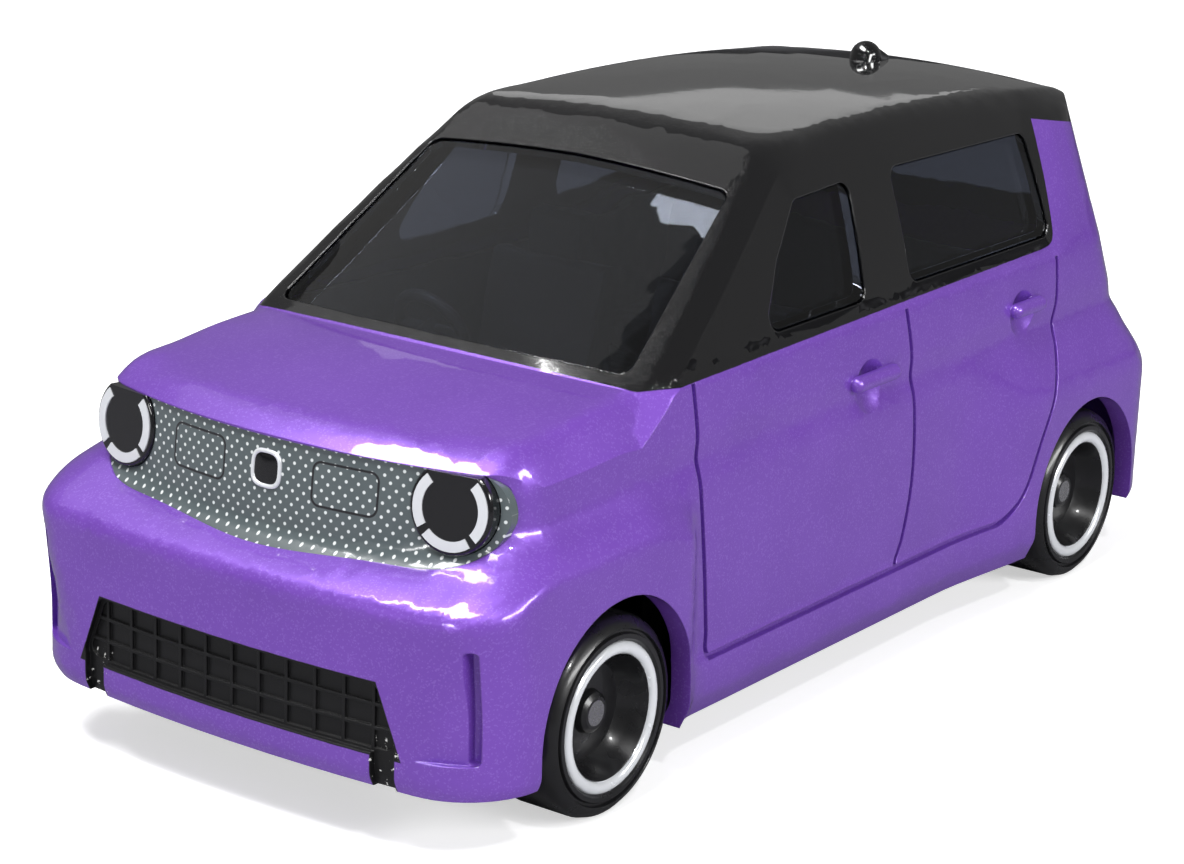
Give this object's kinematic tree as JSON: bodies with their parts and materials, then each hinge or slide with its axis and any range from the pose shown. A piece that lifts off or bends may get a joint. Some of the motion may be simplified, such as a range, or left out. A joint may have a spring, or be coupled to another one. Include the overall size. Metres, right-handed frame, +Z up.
{
  "type": "die-cast toy car",
  "caption": "Small die-cast toy hatchback: painted metal body, clear windows, seat moulding, plastic base and free-rolling wheels.",
  "frame": {"origin": "on the floor below the middle of the car, between its tyres", "axes": "+X to the car's left, +Y to its rear, +Z up; the car faces -Y"},
  "size_m": [0.028, 0.0643, 0.0287],
  "materials": {
    "purple_casting": "metallic gloss",
    "smoked_clear": "gloss",
    "black_plastic": "satin",
    "grey_panel": "gloss",
    "silver_foil": "satin",
    "gloss_black": "gloss",
    "wheel_black": "satin",
    "steel_pin": "bright",
    "bare_zinc": "bare",
    "lamp_red": "gloss"
  },
  "bodies": {
    "car": {"base_plate": "black_plastic", "body_casting": "purple_casting", "front_panel": "grey_panel", "headlamp_arcs_left": "silver_foil", "headlamp_arcs_right": "silver_foil", "headlamp_left": "gloss_black", "headlamp_right": "gloss_black", "interior": "black_plastic", "rivet_front": "bare_zinc", "rivet_rear": "bare_zinc", "tail_lamp_left": "lamp_red", "tail_lamp_right": "lamp_red", "window_unit": "smoked_clear"},
    "wheelset_front": {"axle_front": "steel_pin", "wheel_front_left": "wheel_black", "wheel_front_right": "wheel_black", "wheel_ring_front_left": "silver_foil", "wheel_ring_front_right": "silver_foil"},
    "wheelset_rear": {"axle_rear": "steel_pin", "wheel_rear_left": "wheel_black", "wheel_rear_right": "wheel_black", "wheel_ring_rear_left": "silver_foil", "wheel_ring_rear_right": "silver_foil"}
  },
  "joints": [
    {"name": "front_wheels_roll", "type": "hinge", "parent": "car", "child": "wheelset_front", "pos_m": [0, -0.0221, 0.00475], "axis": [1, 0, 0], "continuous": true},
    {"name": "rear_wheels_roll", "type": "hinge", "parent": "car", "child": "wheelset_rear", "pos_m": [0, 0.0221, 0.00475], "axis": [1, 0, 0], "continuous": true}
  ]
}
